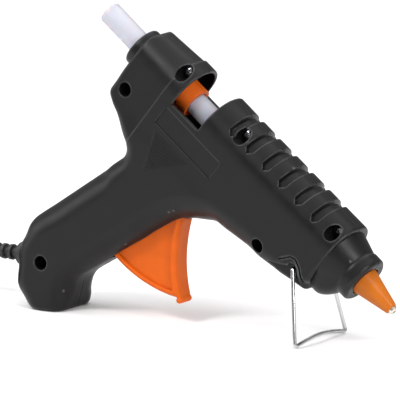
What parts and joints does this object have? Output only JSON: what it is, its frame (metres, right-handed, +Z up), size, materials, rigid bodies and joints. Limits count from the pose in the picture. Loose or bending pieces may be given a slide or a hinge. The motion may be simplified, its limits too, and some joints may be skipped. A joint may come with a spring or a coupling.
{
  "type": "glue gun",
  "caption": "Pistol-shaped electric hot glue gun with a finger trigger that feeds the glue stick, a heated nozzle, a fold-out wire stand and a mains lead.",
  "frame": {"origin": "middle of the bottom of the box around the gun without its free cord, on the surface that the gun stands on", "axes": "+X forward along the gun, towards the nozzle; +Y across it, to the side away from the screw heads; +Z up, with the gun standing on its butt and wire stand"},
  "size_m": [0.4225, 0.055, 0.1522],
  "materials": {
    "moulded_black": "fine moulded texture",
    "orange_plastic": "satin moulding",
    "orange_silicone": "smooth silicone",
    "clear_glue": "milky translucent",
    "zinc_screw": "zinc plated",
    "plated_wire": "bright plated",
    "steel": "ground",
    "spring_steel": "drawn wire",
    "nozzle_metal": "turned, plated",
    "cast_aluminium": "as cast",
    "heater_ceramic": "unglazed ceramic",
    "brass": "stamped",
    "insulating_board": "pressed board",
    "red_silicone": "smooth silicone",
    "grey_plastic": "moulded nylon",
    "wire_sleeve": "braided glass sleeve",
    "cord_rubber": "satin",
    "black_plastic": "satin",
    "nickel": "nickel plated"
  },
  "bodies": {
    "housing": {"left_shell": "moulded_black", "right_shell": "moulded_black", "housing_screws": "zinc_screw", "nozzle_cover": "orange_silicone", "nozzle_tip": "nozzle_metal", "valve_spring": "spring_steel", "melt_chamber": "cast_aluminium", "heater_core": "heater_ceramic", "heater_electrodes": "brass", "heater_clip": "spring_steel", "front_support": "insulating_board", "rear_support": "insulating_board", "inlet_sleeve": "red_silicone", "sleeve_clamp": "spring_steel", "trigger_pin": "steel", "return_spring": "spring_steel", "feed_lever_pin": "steel", "lead_wires": "wire_sleeve", "wire_splices": "brass", "cord_clamp": "grey_plastic", "clamp_screws": "zinc_screw", "cord_end": "cord_rubber", "strain_relief": "cord_rubber", "power_cord": "cord_rubber", "cord_coil": "cord_rubber", "cord_tail": "cord_rubber", "coil_tie": "black_plastic", "plug_body": "cord_rubber", "plug_pins": "nickel"},
    "trigger": {"trigger": "orange_plastic"},
    "feed_lever": {"feed_lever": "grey_plastic"},
    "carriage": {"carriage": "orange_plastic", "grip_pin": "steel"},
    "grip_lever": {"grip_lever": "steel"},
    "glue_stick": {"glue_stick": "clear_glue"},
    "wire_stand": {"wire_stand": "plated_wire"},
    "check_ball": {"check_ball": "steel"}
  },
  "joints": [
    {"name": "trigger_pull", "type": "hinge", "parent": "housing", "child": "trigger", "pos_m": [-0.0074, 0, 0.07948], "axis": [0, 1, 0], "range_deg": [0, 16], "stiffness_Nm_per_rad": 0.25, "springref_deg": -20.05},
    {"name": "feed_rocker", "type": "hinge", "parent": "housing", "child": "feed_lever", "pos_m": [-0.0296, 0, 0.08691], "axis": [0, 1, 0], "range_deg": [0, 31.05]},
    {"name": "carriage_feed", "type": "slide", "parent": "housing", "child": "carriage", "axis": [0.7826, 0, -0.6225], "range_m": [0, 0.011]},
    {"name": "grip_bite", "type": "hinge", "parent": "carriage", "child": "grip_lever", "pos_m": [-0.0259, 0, 0.11004], "axis": [0, 1, 0], "range_deg": [0, 4]},
    {"name": "stick_slide", "type": "slide", "parent": "carriage", "child": "glue_stick", "axis": [0.7826, 0, -0.6225], "range_m": [-0.055, 0]},
    {"name": "stand_fold", "type": "hinge", "parent": "housing", "child": "wire_stand", "pos_m": [0.05637, 0, 0.03693], "axis": [0, 1, 0], "range_deg": [0, 100]},
    {"name": "check_valve", "type": "slide", "parent": "housing", "child": "check_ball", "axis": [0.7826, 0, -0.6225], "range_m": [0, 0.001], "stiffness_N_per_m": 150, "springref_m": -0.002}
  ],
  "couplings": [
    {"joint": "feed_rocker", "follows": "trigger_pull", "ratio": 1.94},
    {"joint": "carriage_feed", "follows": "trigger_pull", "m_per_rad": 0.03939},
    {"joint": "grip_bite", "follows": "trigger_pull", "ratio": 0.25}
  ]
}
